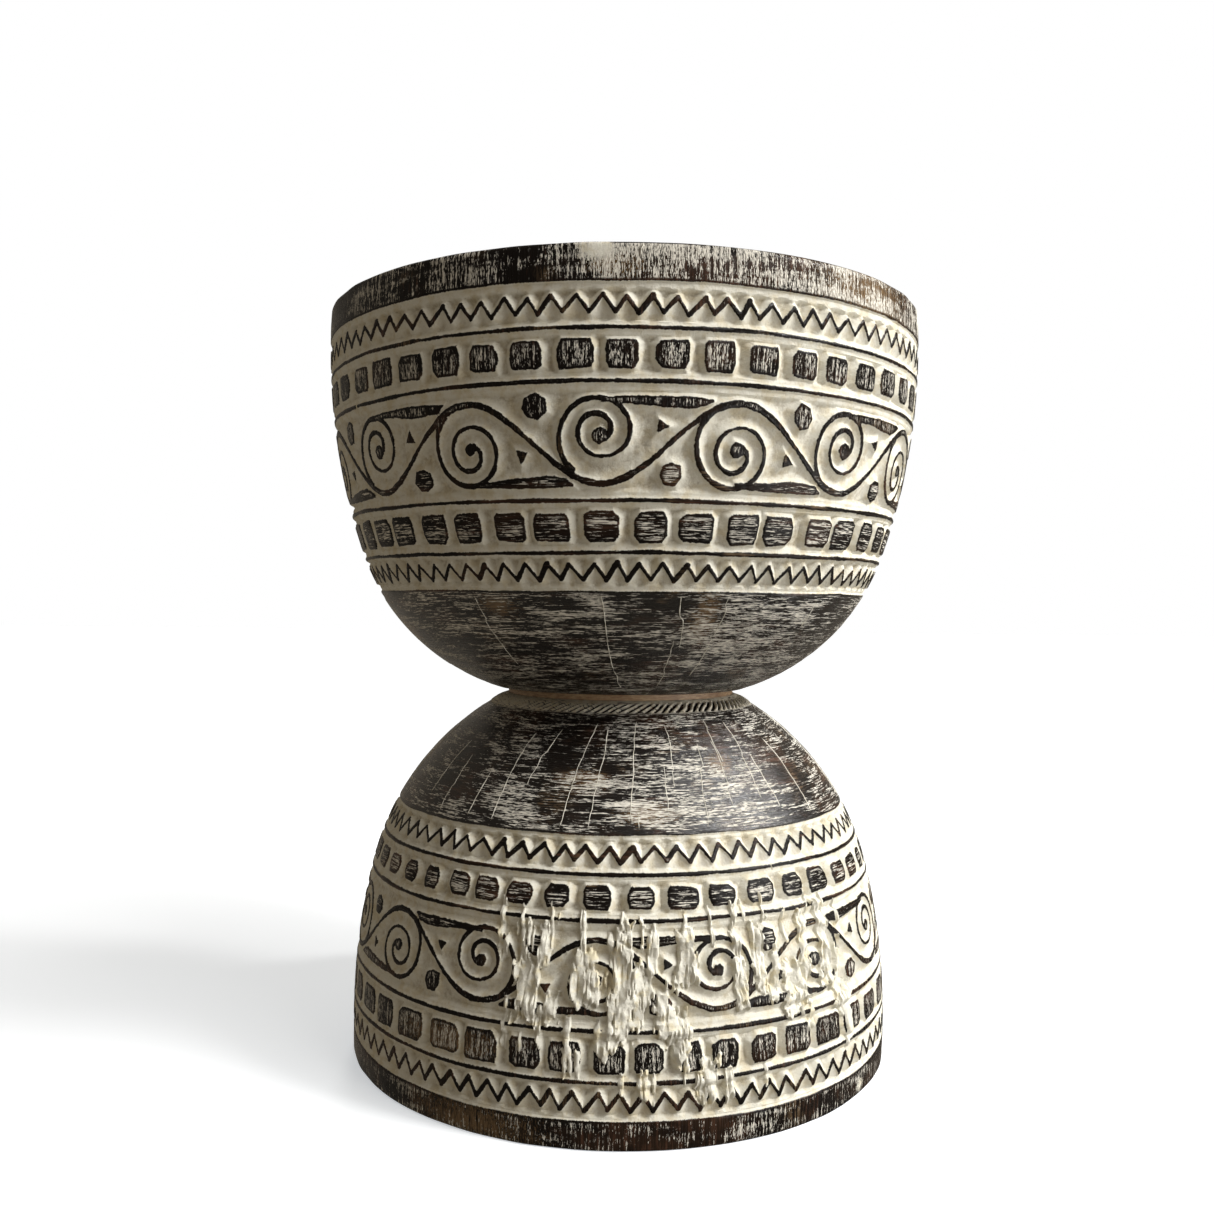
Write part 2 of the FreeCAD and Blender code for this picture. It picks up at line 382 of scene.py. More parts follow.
def tooth_row(sheet, field, ring, pit, down, seed):
    """One zigzag ridge with a row of chips on each side of it.

    Chips on the page-top side are sharp V cuts. The others are scooped with
    a round gouge, so their bottoms are hollow and smooth.
    """
    count = ring[0]
    v = sheet.v[:, None]
    turn, level, _ = tooth_points(ring, seed)
    around = np.concatenate([turn - TURN, turn, turn + TURN, turn + 2 * TURN])
    mid = np.interp(sheet.theta, around, np.tile(level, 4))
    below = down * (v - mid[None, :]) > 0

    # each chip ends in a bowed edge against the margin
    cell = np.interp(sheet.theta, around, np.arange(-2 * count, 6 * count))
    bow = np.abs(np.sin(math.pi * cell / 2.0))
    top_v, low_v = (pit[0], pit[1]) if down > 0 else (pit[1], pit[0])
    tall_bow = bow if down > 0 else 1.0 - bow
    rough = 0.25 * noise(sheet.theta, pit[0], 3.0, 50.0, seed + 7)
    from_top = down * (v - top_v) + 1.1 * tall_bow[None, :] + rough
    from_low = down * (low_v - v) + 1.1 * (1.0 - tall_bow)[None, :] + rough

    sharp = 1.02 * np.clip(field, 0, None)
    scooped = smear(hollow(field, 1.15, 3.6), max(1, sheet.n // 700))
    scooped = np.minimum(scooped, 1.3 * np.clip(field, 0, None))
    wall_top = MARGIN + 1.5 * np.clip(from_top, 0, None)
    wall_low = MARGIN + 1.7 * np.clip(from_low, 0, None)
    depth = np.where(below, np.minimum(scooped, wall_low), np.minimum(sharp, wall_top))
    return np.minimum(depth, DEEPEST + 0.3)


def carve(sheet, plan):
    """Depth below the turned outside and distance inside the dark figures, in mm."""
    v = sheet.v[:, None]
    theta = sheet.theta[None, :]
    down, seed = plan["down"], plan["seed"]
    lines = sheet.blank()
    for k, v_line in enumerate(plan["lines"]):
        ring_line(sheet, lines, v_line, LINE_HALF, seed + 10 * k)
    figures = sheet.blank()
    for k, ring in enumerate(plan["pads"]):
        pads(sheet, figures, ring, seed + 100 + k)
    swirls = sheet.blank()
    scrolls(sheet, swirls, plan["scroll_mid"], plan["scroll_scale"], down, plan["along"],
            plan["scroll_first"], seed + 200)
    zigs = []
    for k, ring in enumerate(plan["teeth"]):
        field = sheet.blank()
        teeth(sheet, field, ring, TOOTH_HALF, down, seed + 300 + k)
        zigs.append(field)

    rough = 0.22 * noise(theta, v, 1.5, 1.5, seed + 1) + 0.14 * noise(theta, v, 4.5, 4.5, seed + 2)
    uneven = 1.0 + 0.20 * noise(theta, v, 11.0, 11.0, seed + 3)
    lines = lines + 0.6 * rough
    figures = figures + rough
    swirls = swirls + rough
    zigs = [field + 0.7 * rough for field in zigs]

    edge_a = plan["margin_a"] + 0.45 * noise(theta, 0.0, 20.0, 50.0, seed + 4)
    edge_b = plan["margin_b"] + 0.45 * noise(theta, 0.0, 20.0, 50.0, seed + 5)
    inside = np.minimum(v - edge_a, edge_b - v) + 0.5 * rough
    floor = np.full(inside.shape, MARGIN)
    for k, (v_a, v_b) in enumerate(plan["pad_pits"]):
        floor = np.maximum(floor, floor_of(theta, v, v_a, v_b, 1.0, seed + 400 + k))
    v_a, v_b = plan["scroll_pit"]
    floor = np.maximum(floor, floor_of(theta, v, v_a, v_b, 0.8, seed + 420))
    for k, (v_a, v_b) in enumerate(plan["tooth_pits"]):
        pit = tooth_row(sheet, zigs[k], plan["teeth"][k], (v_a, v_b), down, seed + 300 + k)
        here = (v > v_a - 1.2) & (v < v_b + 1.2)
        floor = np.where(here, np.maximum(pit, floor), floor)
        floor = np.minimum(floor, 1.3 * np.clip(zigs[k], 0, None))
    depth = np.minimum(floor, 0.80 * np.clip(lines, 0, None))
    depth = np.minimum(depth, 0.92 * uneven * np.clip(figures, 0, None))
    depth = np.minimum(depth, hollow(swirls * uneven, 1.35, 3.2))
    depth = np.minimum(depth, 1.5 * np.clip(inside, 0, None))
    cut = ramp(depth, 0.15, 0.8)
    tool = 0.11 * noise(theta, v, 2.4, 5.0, seed + 6) + 0.07 * noise(theta, v, 1.3, 1.3, seed + 7)
    depth = depth + cut * tool + 0.05 * noise(theta, v, 7.0, 2.0, seed + 8)
    # flat chisel cuts that meet in low ridges on the deep ground
    facet = 0.16 - np.abs(noise(theta, v, 6.0, 4.2, seed + 9))
    depth = depth - 0.55 * np.clip(facet, 0, None) * ramp(depth, 0.9, 1.8)

    nearest = np.minimum(np.minimum(lines, figures), swirls)
    for field in zigs:
        nearest = np.minimum(nearest, field)
    solid = np.clip(-np.minimum(nearest, inside), 0.0, 2.0)
    return depth, solid


# The carving of each bowl, with v in mm from the open end and bearings in degrees.
# teeth: number, v of the corners on either side, bearing of the first corner
# pads: number, v of the middle, width, height, bearing of the first pad, sway
# sway: its size in degrees, how often it comes round, bearing where it starts
# pits: v of both edges

EVEN = (0.0, 1, 0.0)    # no sway

UPPER_PLAN = {
    "seed": 1000, "floor_h": 25.0, "edge_round": 2.0, "socket_depth": 16.0,
    "down": 1, "along": 1,
    "margin_a": 16.8, "margin_b": 154.9,
    "lines": [36.9, 60.0, 111.5, 135.6],
    "teeth": [(93, 23.4, 30.6, -90.2), (84, 141.0, 149.0, -91.6)],
    "tooth_pits": [(20.9, 34.2), (138.4, 152.0)],
    "pads": [(48, 48.3, 14.8, 12.0, -90.8, EVEN), (43, 123.8, 15.8, 13.4, -85.8, EVEN)],
    "pad_pits": [(39.9, 56.8), (114.6, 133.0)],
    "scroll_mid": 86.1, "scroll_scale": 1.0, "scroll_first": -94.7,
    "scroll_pit": (63.6, 108.4),
}
FOOT_PLAN = {
    "seed": 2000, "floor_h": 27.5, "edge_round": 1.5, "socket_depth": 15.0,
    "down": -1, "along": -1,
    "margin_a": 13.4, "margin_b": 140.0,
    "lines": [30.9, 52.9, 101.1, 121.8],
    "teeth": [(90, 18.4, 26.0, -88.3), (76, 127.3, 134.5, -90.35)],
    "tooth_pits": [(16.0, 28.6), (124.6, 137.6)],
    "pads": [(46, 41.4, 14.6, 12.6, -93.5, (1.67, 4, -128.1)),
             (45, 111.3, 12.6, 9.8, -93.35, (1.12, 3, -63.9))],
    "pad_pits": [(33.0, 50.2), (104.0, 118.6)],
    "scroll_mid": 77.0, "scroll_scale": 0.86, "scroll_first": -71.8,
    "scroll_pit": (56.0, 98.2),
}


# Thick white paste on the front of the foot, listed one run at a time: angle in degrees,
# upper and lower end as distances from the base, width and thickness in mm.
PASTE_RUNS = [
    (-113.4, 106, 86, 2.4, 1.3), (-112, 90, 80, 3, 1.5), (-108.6, 98, 72, 6, 1.9),
    (-107, 80, 54, 9, 2.1), (-104.4, 99, 78, 5, 1.7), (-102.6, 68, 57, 5, 1.6),
    (-97.3, 104, 86, 2, 1.5), (-97, 88, 64, 9.5, 2.2), (-92, 96, 78, 3.4, 1.5),
    (-90, 100, 47, 8.5, 2.6), (-87, 84, 54, 6, 2.2), (-84.5, 98, 78, 5, 1.6),
    (-82.5, 72, 52, 9, 1.9), (-78.5, 97, 74, 6.5, 2.2), (-79.5, 60, 33, 5.5, 1.9),
    (-74.5, 40, 22, 8.5, 1.7), (-71, 36, 24, 4, 1.5), (-86, 34, 24, 6, 1.6),
    (-68.3, 104, 84, 2, 1.5), (-67.8, 92, 62, 4.4, 2.1), (-63.5, 96, 68, 6, 2.1),
    (-60.5, 84, 60, 4, 1.6), (-56, 76, 54, 13, 2), (-52.5, 98, 66, 4, 1.7),
    (-47, 102, 62, 6.5, 2), (-43, 80, 48, 5, 1.7), (-40.5, 58, 30, 5, 1.6),
    (-99.5, 60, 34, 3.4, 1.4), (-94, 56, 42, 5, 1.5), (-52, 60, 46, 4, 1.4),
]
PASTE_STRINGS = 22


def paste_runs(sheet, depth):
    """Level of the foot with the thick paste that ran down it and set there."""
    v = sheet.v[:, None]
    theta = sheet.theta[None, :]
    radius = 146.0
    rng = np.random.default_rng(77)
    runs = list(PASTE_RUNS)
    for _ in range(PASTE_STRINGS):
        top = rng.choice([rng.uniform(98.0, 108.0), rng.uniform(60.0, 90.0), rng.uniform(28.0, 56.0)])
        runs.append((rng.uniform(-114.0, -38.0), top, top - rng.uniform(5.0, 15.0),
                     rng.uniform(0.9, 1.7), rng.uniform(0.7, 1.2)))
    ragged = 1.5 * noise(theta, v, 1.9, 9.0, 611) + 1.0 * noise(theta, v, 1.2, 3.0, 612)
    thick = np.full(depth.shape, -1.0)
    for k, (angle, top, end, width, rise) in enumerate(runs):
        sway = (0.5 + 0.08 * width) * noise(0.1 * k, sheet.v, 30.0, 15.0, 500 + k)
        swell = 1.0 + 0.35 * noise(0.1 * k, sheet.v, 30.0, 7.0, 700 + k)
        x = ((theta - math.radians(angle) + math.pi) % TURN - math.pi) * radius - sway[:, None]
        half = 0.58 * width * swell[:, None]
        side = half - np.abs(x) + np.minimum(0.48 * half, 2.1) * ragged
        ends = np.minimum(v - end, top - v) + 2.4 * ragged
        inset = np.minimum(side, 0.8 * ends)
        run = 0.66 * rise * (0.82 + 0.18 * ramp(inset, 0.0, np.minimum(half, 2.0))) * ramp(inset, 0.0, 0.4)
        thick = np.maximum(thick, np.where(inset > 0, run, -1.0))
    here = thick > 0
    # the paste was dragged downwards and set in fibres with cracks between them
    lean = 1.3 * noise(theta, v, 9.0, 16.0, 604) / radius
    strand = np.abs(noise(theta + lean, v, 1.7, 15.0, 601))
    thread = np.abs(noise(theta - lean, v, 1.3, 8.0, 602))
    fibre = 0.50 + 0.50 * ramp(strand, 0.00, 0.26) * (0.60 + 0.40 * ramp(thread, 0.00, 0.24))
    lump = noise(theta, v, 6.0, 8.0, 603)
    torn = noise(theta, v, 1.5, 2.4, 605)
    body = thick * fibre * (1.30 + 0.35 * lump + 0.20 * torn)
    body = np.where(here, np.clip(body, 0.25, 3.0), 0.0)
    level = -0.8 * depth + body
    level = np.where(here & (level > -depth), level, -depth)
    return level, body


# ---- mesh making
class Rings:
    """Vertices in rings round the axis, joined by faces."""

    def __init__(self, outline, theta, r, h):
        self.outline = outline
        self.points = []
        self.faces4 = []
        self.faces3 = []
        self.count = 0
        self.last = self.first = self.ring(theta, r, h)

    def ring(self, theta, r, h):
        """A loose ring, as the number of its first point and of its points."""
        theta, r, h = np.broadcast_arrays(theta, r, h)
        self.points.append(self.outline.place(theta, r, h))
        start = self.count
        self.count += len(theta)
        return start, len(theta)

    def join(self, a, b):
        """Faces between two rings. One may have a whole multiple of the other's points."""
        (sa, na), (sb, nb) = a, b
        if na == nb:
            i = np.arange(na)
            j = (i + 1) % na
            self.faces4.append(np.stack([sa + i, sb + i, sb + j, sa + j], 1))
        elif na > nb:
            q = na // nb
            i = np.arange(na)
            home = (i + q // 2) // q % nb
            ahead = (i + 1 + q // 2) // q % nb
            self.faces3.append(np.stack([sa + i, sb + home, sa + (i + 1) % na], 1))
            step = home != ahead
            self.faces3.append(np.stack([sa + (i[step] + 1) % na, sb + home[step], sb + ahead[step]], 1))
        else:
            before = len(self.faces3)
            self.join(b, a)
            self.faces3[before:] = [f[:, ::-1] for f in self.faces3[before:]]

    def extend(self, theta, r, h, inside=False):
        """A further ring joined to the last one, on the outside or the inside."""
        last, self.last = self.last, self.ring(theta, r, h)
        if inside:
            self.join(self.last, last)
        else:
            self.join(last, self.last)

    def skin(self, theta, v, raised):
        """A further ring on the turned outside, raised by some millimetres."""
        r, h, nr, nh = self.outline.at(v)
        self.extend(theta, r + raised * nr, h + raised * nh)

    def close(self, h, inside=False):
        """Faces from the last ring to a point on the axis."""
        start, n = self.last
        tip, _ = self.ring(np.zeros(1), 0.0, h)
        i = np.arange(n)
        fan = np.stack([start + i, np.full(n, tip), start + (i + 1) % n], 1)
        self.faces3.append(fan[:, ::-1] if inside else fan)

    def mesh(self, name):
        quads, tris = np.concatenate(self.faces4), np.concatenate(self.faces3)
        if self.outline.up < 0:
            quads, tris = quads[:, ::-1], tris[:, ::-1]
        return build_mesh(name, np.concatenate(self.points), quads, tris)


def build_mesh(name, points, quads, tris):
    mesh = bpy.data.meshes.new(name)
    mesh.vertices.add(len(points))
    mesh.vertices.foreach_set("co", np.ascontiguousarray(points, np.float32).ravel())
    loops = np.concatenate([quads.ravel(), tris.ravel()]).astype(np.int32)
    mesh.loops.add(len(loops))
    mesh.loops.foreach_set("vertex_index", loops)
    starts = np.concatenate([np.arange(len(quads)) * 4, 4 * len(quads) + np.arange(len(tris)) * 3])
    mesh.polygons.add(len(starts))
    mesh.polygons.foreach_set("loop_start", starts.astype(np.int32))
    mesh.update(calc_edges=True)
    mesh.validate()
    return mesh


def new_piece(name, mesh, material, slot, *nodes):
    """An object on the only body, in place of some CAD nodes, which it hides, or of none."""
    piece = bpy.data.objects.new(name, mesh)
    bpy.context.scene.collection.objects.link(piece)
    mesh.materials.clear()
    mesh.materials.append(material)
    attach(piece, "root")
    if nodes:
        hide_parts(*nodes)


def read(items, name, kind, width=1):
    """One property of all the points, faces or corners of a mesh."""
    values = np.empty(len(items) * width, kind)
    items.foreach_get(name, values)
    return values.reshape(-1, width) if width > 1 else values


def cylindrical(outline, places):
    """Angle, radius and height above the neck in mm, from places in metres."""
    x, y, z = places.astype(float).T / MM
    return np.arctan2(y, x), np.hypot(x, y), (z - outline.neck_z) * outline.up


def sample(sheet, field, theta, v):
    """A grid field at any points of the outside."""
    row = np.clip(np.searchsorted(sheet.v, v) - 1, 0, len(sheet.v) - 2)
    share = np.clip((v - sheet.v[row]) / (sheet.v[row + 1] - sheet.v[row]), 0, 1)
    return between(field, theta, row, share, lambda part: part)


def reduce(mesh, share):
    """Fewer faces, with the carved edges kept."""
    carrier = bpy.data.objects.new("carrier", mesh)
    bpy.context.scene.collection.objects.link(carrier)
    thin = carrier.modifiers.new("thin", "DECIMATE")
    thin.ratio = share
    graph = bpy.context.evaluated_depsgraph_get()
    result = bpy.data.meshes.new_from_object(carrier.evaluated_get(graph))
    bpy.data.objects.remove(carrier)
    return result


def finish_mesh(mesh, outline, sheet, paste, solid, neck_h):
    """Smooth shading, shader attributes and a texture layout."""
    mesh.polygons.foreach_set("use_smooth", np.ones(len(mesh.polygons), bool))
    mesh.set_sharp_from_angle(angle=math.radians(32.0))
    theta, r, h = cylindrical(outline, read(mesh.vertices, "co", np.float32, 3))
    v, depth = outline.locate(r, h)
    on_sheet = (v > sheet.v[0]) & (v < sheet.v[-1]) & (depth < 8.0)
    paste_here = np.where(on_sheet, sample(sheet, paste, theta, v), 0.0)
    solid_here = np.where(on_sheet, sample(sheet, solid, theta, v), 2.0)
    for name, values in (("depth", depth), ("paste", paste_here), ("solid", solid_here)):
        layer = mesh.attributes.new(name, "FLOAT", "POINT")
        layer.data.foreach_set("value", values.astype(np.float32))
    wrap = np.stack([WRAP_RADIUS * np.cos(theta), WRAP_RADIUS * np.sin(theta), v], 1)
    layer = mesh.attributes.new("wrap", "FLOAT_VECTOR", "POINT")
    layer.data.foreach_set("vector", wrap.astype(np.float32).ravel())

    # texture layout: the outside in two half-turn strips, the inside and the rim's
    # top in one full-turn strip, and the neck face and socket as a disc
    total = read(mesh.polygons, "loop_total", np.int32)
    face_theta, face_r, face_h = cylindrical(outline, read(mesh.polygons, "center", np.float32, 3))
    _, face_depth = outline.locate(face_r, face_h)
    neck = np.repeat((face_h < neck_h) & (face_r < outline.at(outline.v_neck)[0] - 1.5), total)
    inner = np.repeat(face_depth > 7.0, total) & ~neck
    index = read(mesh.loops, "vertex_index", np.int32)
    theta, r, h, v = theta[index], r[index], h[index], v[index]
    face_theta = np.repeat(face_theta, total)
    loop_theta = face_theta + (theta - face_theta + math.pi) % TURN - math.pi
    strip = (face_theta > 0).astype(float)
    u = (loop_theta + math.pi * (1.0 - strip)) / math.pi
    w = 0.005 + 0.425 * np.clip(v / outline.v_neck, 0, 1.02) + 0.44 * strip
    down_turn = np.arctan2(outline.height - h + 8.0, r + 1.0)
    u = np.where(inner, (loop_theta + math.pi) / TURN, u)
    w = np.where(inner, 0.885 + 0.065 * down_turn, w)
    u = np.where(neck, 0.5 + r * np.cos(theta) / 4000.0, u)
    w = np.where(neck, 0.992 + r * np.sin(theta) / 12000.0, w)
    layer = mesh.uv_layers.new(name="OFBake")
    uv = np.stack([0.002 + 0.996 * np.clip(u, 0, 1), np.clip(w, 0, 1)], 1)
    layer.data.foreach_set("uv", uv.astype(np.float32).ravel())


FINE = 1536       # points round a carved ring
STEP = 0.68       # mm between carved rings
WALL = 20.0                         # mm, thickness of both bowls
SOCKET_R = 15.15                    # mm, the dowel's radius and its glue space
RIM_WEAR = 0.35                     # mm, how far the open edge is out of true


def outer_rings(rings, plan, level, carved_rows, theta, rope):
    """Open edge, plain band, carved bands, belly and neck."""
    outline, seed, edge_round = rings.outline, plan["seed"], plan["edge_round"]
    middle = theta[::3]
    rim_r = outline.at(edge_round)[0]
    for k in range(1, 6):
        turn = math.pi / 2.0 * (1.0 - k / 5.0)
        worn = RIM_WEAR * noise(middle, 10.0 * k, 14.0, 30.0, seed + 40)
        rings.extend(middle, rim_r - edge_round + edge_round * math.cos(turn) + worn,
                     outline.height - edge_round + edge_round * math.sin(turn))
    for v in np.arange(edge_round + 1.5, carved_rows[0] - 0.6, 1.5):
        worn = RIM_WEAR * noise(middle, 50.0, 14.0, 30.0, seed + 40) * (1 - ramp(v, 4, 12))
        rings.skin(middle, v, 0.12 * noise(middle, v, 9.0, 4.0, seed + 41) + worn)
    for v, raised in zip(carved_rows, level):
        rings.skin(theta, v, raised)

    neck = outline.v_neck
    belly_rows = np.arange(plan["margin_b"] + 3.5, neck - 0.2, 2.2)
    if rope:
        belly_rows = np.concatenate([belly_rows[belly_rows < rope[0] - 1.0],
                                     np.arange(rope[0], rope[1], 0.7),
                                     np.arange(rope[1] + 1.2, neck - 0.2, 1.5)])
    for v in np.append(belly_rows, neck):
        roped = rope is not None and rope[0] <= v <= rope[1]
        around = theta if roped else middle
        worn = 0.10 * noise(around, v, 26.0, 2.4, seed + 42) + 0.05 * noise(around, v, 6.0, 2.2, seed + 43)
        if roped:
            worn = worn - rope_depth(around, v, rope, seed + 44)
        rings.skin(around, v, worn * (1.0 - ramp(v, neck - 2.0, neck)))


def arc_path(r0, h0, arc, start, end, count):
    """Radius, height and normal at points along an arc, without its first."""
    return [(r0 + arc * math.cos(turn), h0 + arc * math.sin(turn), math.cos(turn), math.sin(turn))
            for turn in np.linspace(start, end, count)[1:]]


def inner_rings(rings, plan, theta):
    """Hollow with a rounded edge, an arc parallel to the outside and a flat floor."""
    outline, floor_h, edge_round = rings.outline, plan["floor_h"], plan["edge_round"]
    edge_h = outline.height - edge_round
    wall_arc = outline.wall_arc - WALL
    join_r = outline.wall_r + wall_arc * math.cos(outline.angle)
    join_h = outline.wall_h - wall_arc * math.sin(outline.angle)
    corner = (join_h - floor_h) / (1.0 - math.sin(outline.angle))
    corner_r = join_r - corner * math.cos(outline.angle)
    corner_h = join_h + corner * math.sin(outline.angle)
    start_angle = math.asin((edge_h - outline.wall_h) / wall_arc)
    mouth_r = outline.wall_r + wall_arc * math.cos(start_angle)
    rings.last = rings.first
    for k in range(6):
        turn = math.pi / 2.0 * (1.0 - k / 5.0)
        rings.extend(theta, mouth_r + edge_round - edge_round * math.cos(turn),
                     edge_h + edge_round * math.sin(turn), inside=True)
    path = arc_path(outline.wall_r, outline.wall_h, wall_arc, start_angle, -outline.angle, 26)
    path += arc_path(corner_r, corner_h, corner, -outline.angle, -math.pi / 2.0, 34)
    path += [(r, floor_h, 0.0, -1.0) for r in np.linspace(corner_r, 4.0, 9)[1:]]
    for k, (r, h, nr, nh) in enumerate(path):
        facet = gouge_marks(theta, 4.0 * k, plan["seed"] + 60) * min(1.0, k / 4.0) * min(1.0, r / 30.0)
        rings.extend(theta, r - facet * nr, h - facet * nh, inside=True)
    rings.close(floor_h, inside=True)


def bowl_mesh(name, outline, plan, rope=None, with_paste=False):
    """One bowl as a closed mesh, carved outside and hollow inside."""
    carved_rows = np.arange(plan["margin_a"] - 2.0, plan["margin_b"] + 2.0, STEP)
    sheet = Sheet(outline, carved_rows, FINE)
    depth, solid = carve(sheet, plan)
    level, paste = paste_runs(sheet, depth) if with_paste else (-depth, np.zeros(depth.shape))

    coarse = sheet.theta[::6]
    rings = Rings(outline, coarse, outline.at(0.0)[0] - plan["edge_round"], outline.height)
    outer_rings(rings, plan, level, carved_rows, sheet.theta, rope)
    rings.extend(coarse, SOCKET_R, 0.0)
    rings.extend(coarse, SOCKET_R, plan["socket_depth"])
    rings.close(plan["socket_depth"])
    inner_rings(rings, plan, coarse)

    mesh = rings.mesh(name)
    mesh = reduce(mesh, 0.5)
    finish_mesh(mesh, outline, sheet, paste, solid, plan["socket_depth"] + 1.0)
    mesh.name = name
    return mesh


def gouge_marks(theta, v, seed):
    """Height of the ridges between gouge cuts, in millimetres."""
    cells = 44
    shift = noise(theta, v, 60.0, 40.0, seed) * 1.3
    a = theta / TURN * cells + shift + 0.5 * (int(v // 22.0) % 2)
    across = np.abs((a % 1.0) - 0.5) * 2.0
    b = (v % 22.0) / 22.0
    return 0.45 * across ** 2 + 0.35 * (2.0 * b - 1.0) ** 2 - 0.3


NICKS = 104     # cuts that divide the strands of the rope, all round


def rope_depth(theta, v, rope, seed):
    """Slanted nicks round the foot's neck that look like a twisted rope."""
    mid = (rope[0] + rope[1]) / 2.0
    half = (rope[1] - rope[0]) / 2.0
    across = np.clip(1.0 - ((v - mid) / half) ** 2, 0, 1)
    phase = theta / TURN * NICKS - (v - mid) * 0.24 + 0.25 * noise(theta, v, 20.0, 5.0, seed)
    nick = np.abs((phase % 1.0) - 0.5) * 2.0
    cut = 1.7 * (1.0 - ramp(nick, 0.10, 0.65))
    strand = 0.7 * ramp(nick, 0.35, 1.0)
    return (cut - strand) * np.sqrt(across)


# ---- materials
class Wire:
    """Output of a shader node. Sums and products of wires add math nodes."""

    def __init__(self, nodes, socket):
        self.nodes = nodes
        self.socket = socket

    def __add__(self, other):
        return self.nodes.math("ADD", self, other)

    def __sub__(self, other):
        return self.nodes.math("SUBTRACT", self, other)

    def __rsub__(self, other):
        return self.nodes.math("SUBTRACT", other, self)

    def __mul__(self, other):
        return self.nodes.math("MULTIPLY", self, other)


class Nodes:
    """Short-hand for building a node material."""

    def __init__(self, name):
        self.material = bpy.data.materials.new(name)
        self.material.use_nodes = True
        self.tree = self.material.node_tree
        self.tree.nodes.clear()
        self.shader = self.tree.nodes.new("ShaderNodeBsdfPrincipled")
        output = self.tree.nodes.new("ShaderNodeOutputMaterial")
        self.tree.links.new(self.shader.outputs[0], output.inputs[0])

    def put(self, socket, value):
        """Link a wire to a socket, or set a constant on it."""
        if isinstance(value, Wire):
            self.tree.links.new(value.socket, socket)
        else:
            socket.default_value = value

    def node(self, kind, inputs, output=0, **settings):
        """A node with these inputs, as one of its outputs."""
        node = self.tree.nodes.new(kind)
        for key, value in settings.items():
            setattr(node, key, value)
        for key, value in inputs.items():
            self.put(node.inputs[key], value)
        return Wire(self, node.outputs[output])

    def surface(self, inputs):
        for key, value in inputs.items():
            self.put(self.shader.inputs[key], value)
        return self.material

    def attribute(self, name, output="Fac"):
        return self.node("ShaderNodeAttribute", {}, output, attribute_name=name)

    def vector(self, operation, a, b, output=0):
        return self.node("ShaderNodeVectorMath", {0: a, 1: b}, output, operation=operation)

    def noise(self, vector, scale, detail=3.0, rough=0.55, warp=0.0):
        return self.node("ShaderNodeTexNoise", {"Vector": vector, "Scale": scale, "Detail": detail,
                                                "Roughness": rough, "Distortion": warp}, "Fac")

    def grain(self, vector, around, along, detail, rough=0.55, warp=0.0):
        """Noise with that many cells per unit across the third axis and along it."""
        stretched = self.vector("MULTIPLY", vector, (around, around, along))
        return self.noise(stretched, 1.0, detail, rough, warp)

    def math(self, operation, a, b):
        return self.node("ShaderNodeMath", {0: a, 1: b}, operation=operation)

    def most(self, a, b):
        return self.math("MAXIMUM", a, b)

    def ramp(self, value, low, high):
        """0 at low and 1 at high, eased between."""
        return self.node("ShaderNodeMapRange", {0: value, 1: low, 2: high},
                         interpolation_type="SMOOTHSTEP")

    def mix(self, share, a, b):
        """Colour a where share is 0 and b where it is 1."""
        return self.node("ShaderNodeMix", {0: share, 6: a, 7: b}, 2, data_type="RGBA")

    def blend(self, share, a, b):
        """Number a where share is 0 and b where it is 1."""
        return self.node("ShaderNodeMix", {0: share, 2: a, 3: b}, data_type="FLOAT")

    def bump(self, height, strength, distance):
        return self.node("ShaderNodeBump", {"Height": height, "Strength": strength, "Distance": distance})


BLACK = (0.0065, 0.0048, 0.0038, 1)
UMBER = (0.0225, 0.0128, 0.0078, 1)
RUST = (0.085, 0.041, 0.025, 1)
OCHRE = (0.190, 0.122, 0.062, 1)
LIME = (0.71, 0.685, 0.592, 1)
LIME_WARM = (0.62, 0.56, 0.42, 1)
# dirt colour of the limewash, also laid into the deepest cuts as painted shade
LIME_DIRT_AND_SHADE = (0.27, 0.215, 0.135, 1)
LIME_RUB = (0.72, 0.68, 0.59, 1)
PASTE_WARM = (0.70, 0.62, 0.42, 1)
ROPE_LIME = (0.56, 0.48, 0.34, 1)
INSIDE_DARK = (0.034, 0.019, 0.012, 1)
INSIDE_LIGHT = (0.118, 0.068, 0.037, 1)
INSIDE_STAIN = (0.062, 0.034, 0.020, 1)


def on_wrap(degrees, v):
    """Place of a point of the outside in the shader's own coordinates."""
    angle = math.radians(degrees)
    return (WRAP_RADIUS * math.cos(angle), WRAP_RADIUS * math.sin(angle), v)


